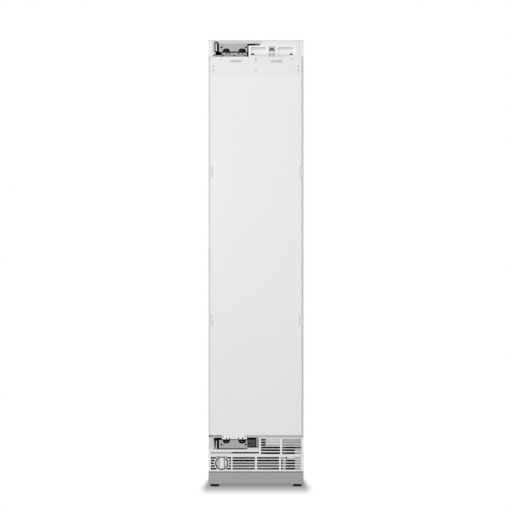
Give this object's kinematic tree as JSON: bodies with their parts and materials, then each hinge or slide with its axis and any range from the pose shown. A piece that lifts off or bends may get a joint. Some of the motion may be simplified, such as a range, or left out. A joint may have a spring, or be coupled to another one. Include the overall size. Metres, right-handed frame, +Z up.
{
  "type": "built-in column freezer",
  "caption": "Tall panel-ready column freezer with a left-hinged door, hidden top and bottom hinges, slotted grilles, a water-filter cap, toe kick and levelling feet.",
  "frame": {"origin": "on the floor, in the middle of the footprint", "axes": "+Z up, the front faces -Y, +X to the right as seen from the front"},
  "size_m": [0.451, 0.608, 2.12],
  "materials": {
    "white_paint": "satin",
    "grey_paint": "satin",
    "zinc_steel": "satin",
    "dark_steel": "satin",
    "white_plastic": "satin",
    "black_plastic": "matte",
    "clear_plastic": "gloss",
    "foam": "matte",
    "shelf_glass": "gloss",
    "fin_aluminium": "satin",
    "seal_rubber": "matte"
  },
  "bodies": {
    "cabinet": {"base_frame": "grey_paint", "bottom_hinge_block": "zinc_steel", "bottom_hinge_cover": "dark_steel", "cabinet_insulation": "foam", "cabinet_liner": "white_plastic", "cabinet_shell": "grey_paint", "compressor": "black_plastic", "condenser": "fin_aluminium", "condenser_fan_frame": "black_plastic", "control_cover": "white_plastic", "control_panel": "black_plastic", "drip_tray": "black_plastic", "electronics_box": "white_plastic", "evaporator": "fin_aluminium", "evaporator_cover": "white_plastic", "face_frame": "white_paint", "filter_housing": "white_plastic", "glass_shelf_1": "shelf_glass", "glass_shelf_2": "shelf_glass", "glass_shelf_3": "shelf_glass", "ice_maker": "white_plastic", "light_strip_left": "clear_plastic", "light_strip_right": "clear_plastic", "lower_grille": "white_paint", "runner_left": "white_plastic", "runner_right": "white_plastic", "toe_kick": "grey_paint", "top_fascia": "white_paint", "top_frame": "white_paint", "top_hinge_block": "zinc_steel", "top_hinge_cover": "dark_steel", "upper_grille": "white_paint"},
    "door": {"door_panel": "white_paint", "door_insulation": "foam", "door_liner": "white_plastic", "door_gasket": "seal_rubber", "fixing_plate": "white_paint", "side_clip_lower_left": "zinc_steel", "side_clip_lower_right": "zinc_steel", "side_clip_upper_left": "zinc_steel", "side_clip_upper_right": "zinc_steel", "door_rack_1": "clear_plastic", "door_rack_2": "clear_plastic", "top_hinge_bracket": "zinc_steel", "bottom_hinge_bracket": "zinc_steel"},
    "closer_crank": {"closer_crank": "zinc_steel"},
    "closer_link": {"closer_link": "zinc_steel"},
    "drawer_lower": {"drawer_lower": "clear_plastic"},
    "drawer_middle": {"drawer_middle": "clear_plastic"},
    "drawer_upper": {"drawer_upper": "clear_plastic"},
    "ice_bin": {"ice_bin": "clear_plastic"},
    "evaporator_fan": {"evaporator_fan": "white_plastic"},
    "condenser_fan": {"condenser_fan": "black_plastic"},
    "ice_maker_arm": {"ice_maker_arm": "white_plastic"},
    "filter_cartridge": {"filter_cartridge": "white_plastic"},
    "filter_cap": {"filter_cap": "white_plastic"},
    "foot_front_left": {"foot_front_left": "black_plastic"},
    "foot_front_right": {"foot_front_right": "black_plastic"},
    "foot_rear_left": {"foot_rear_left": "black_plastic"},
    "foot_rear_right": {"foot_rear_right": "black_plastic"}
  },
  "joints": [
    {"name": "door_swing", "type": "hinge", "parent": "cabinet", "child": "door", "pos_m": [-0.1975, -0.2795, 1.14245], "axis": [0, 0, -1], "range_deg": [0, 115]},
    {"name": "closer_crank_turn", "type": "hinge", "parent": "cabinet", "child": "closer_crank", "pos_m": [-0.16482, -0.22918, 2.057], "axis": [0, 0, -1], "range_deg": [0, 115]},
    {"name": "closer_link_turn", "type": "hinge", "parent": "closer_crank", "child": "closer_link", "pos_m": [-0.14216, -0.21862, 2.0505], "axis": [0, 0, -1], "range_deg": [-115, 0]},
    {"name": "drawer_lower_slide", "type": "slide", "parent": "cabinet", "child": "drawer_lower", "axis": [0, -1, 0], "range_m": [0, 0.15]},
    {"name": "drawer_middle_slide", "type": "slide", "parent": "cabinet", "child": "drawer_middle", "axis": [0, -1, 0], "range_m": [0, 0.15]},
    {"name": "drawer_upper_slide", "type": "slide", "parent": "cabinet", "child": "drawer_upper", "axis": [0, -1, 0], "range_m": [0, 0.15]},
    {"name": "ice_bin_slide", "type": "slide", "parent": "cabinet", "child": "ice_bin", "axis": [0, -1, 0], "range_m": [0, 0.15]},
    {"name": "evaporator_fan_spin", "type": "hinge", "parent": "cabinet", "child": "evaporator_fan", "pos_m": [0, 0.2087, 1.76037], "axis": [0, -1, 0], "continuous": true},
    {"name": "condenser_fan_spin", "type": "hinge", "parent": "cabinet", "child": "condenser_fan", "pos_m": [0.1175, -0.1395, 0.1138], "axis": [0, -1, 0], "continuous": true},
    {"name": "ice_maker_arm_lift", "type": "hinge", "parent": "cabinet", "child": "ice_maker_arm", "pos_m": [-0.0449, -0.0075, 1.1597], "axis": [1, 0, 0], "range_deg": [0, 25]},
    {"name": "filter_pull", "type": "slide", "parent": "cabinet", "child": "filter_cartridge", "axis": [0, -1, 0], "range_m": [0, 0.26]},
    {"name": "filter_cap_turn", "type": "hinge", "parent": "filter_cartridge", "child": "filter_cap", "pos_m": [-0.1631, -0.3009, 0.1107], "axis": [0, 1, 0], "range_deg": [0, 90]},
    {"name": "foot_front_left_turn", "type": "hinge", "parent": "cabinet", "child": "foot_front_left", "pos_m": [-0.196, -0.2675, 0.03], "axis": [0, 0, 1], "continuous": true},
    {"name": "foot_front_right_turn", "type": "hinge", "parent": "cabinet", "child": "foot_front_right", "pos_m": [0.196, -0.2675, 0.03], "axis": [0, 0, 1], "continuous": true},
    {"name": "foot_rear_left_turn", "type": "hinge", "parent": "cabinet", "child": "foot_rear_left", "pos_m": [-0.196, 0.259, 0.03], "axis": [0, 0, 1], "continuous": true},
    {"name": "foot_rear_right_turn", "type": "hinge", "parent": "cabinet", "child": "foot_rear_right", "pos_m": [0.196, 0.259, 0.03], "axis": [0, 0, 1], "continuous": true}
  ],
  "couplings": [
    {"joint": "closer_crank_turn", "follows": "door_swing", "ratio": 1},
    {"joint": "closer_link_turn", "follows": "door_swing", "ratio": -1},
    {"joint": "drawer_lower_slide", "follows": "door_swing", "m_per_rad": 0.0747},
    {"joint": "drawer_middle_slide", "follows": "door_swing", "m_per_rad": 0.0747},
    {"joint": "drawer_upper_slide", "follows": "door_swing", "m_per_rad": 0.0747},
    {"joint": "ice_bin_slide", "follows": "door_swing", "m_per_rad": 0.0747}
  ]
}
